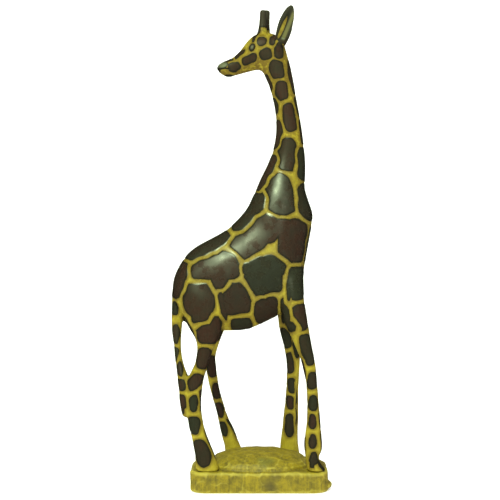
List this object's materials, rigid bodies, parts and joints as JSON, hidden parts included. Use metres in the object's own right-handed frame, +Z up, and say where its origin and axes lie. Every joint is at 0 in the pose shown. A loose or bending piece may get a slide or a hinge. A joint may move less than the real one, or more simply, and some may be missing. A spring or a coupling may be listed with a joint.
{
  "type": "carved wooden giraffe statue",
  "caption": "Standing carved wooden giraffe that looks back over its shoulder, with spotted body, upright ears, blunt horns and a hanging tail, on a low carved base with a domed top.",
  "frame": {"origin": "centre of the base's flat underside", "axes": "+X the way the giraffe's body faces, +Y its left side, +Z up"},
  "size_m": [0.2055, 0.104, 0.6108],
  "materials": {
    "base_wood": "bare yellow wood, chiselled and lightly waxed",
    "spotted_wood": "dark stained patches parted by pale carved lines, polished",
    "ear_and_horn_wood": "dark stained, satin",
    "dowel_wood": "plain turned hardwood"
  },
  "bodies": {
    "root": {"base": "base_wood", "torso": "spotted_wood", "neck": "spotted_wood", "head": "spotted_wood", "tail": "spotted_wood", "right_front_leg": "spotted_wood", "left_front_leg": "spotted_wood", "right_hind_leg": "spotted_wood", "left_hind_leg": "spotted_wood", "right_ear": "ear_and_horn_wood", "left_ear": "ear_and_horn_wood", "right_horn": "ear_and_horn_wood", "left_horn": "ear_and_horn_wood", "neck_dowel": "dowel_wood", "head_dowel": "dowel_wood", "leg_dowels": "dowel_wood", "tail_dowel": "dowel_wood"}
  },
  "joints": []
}
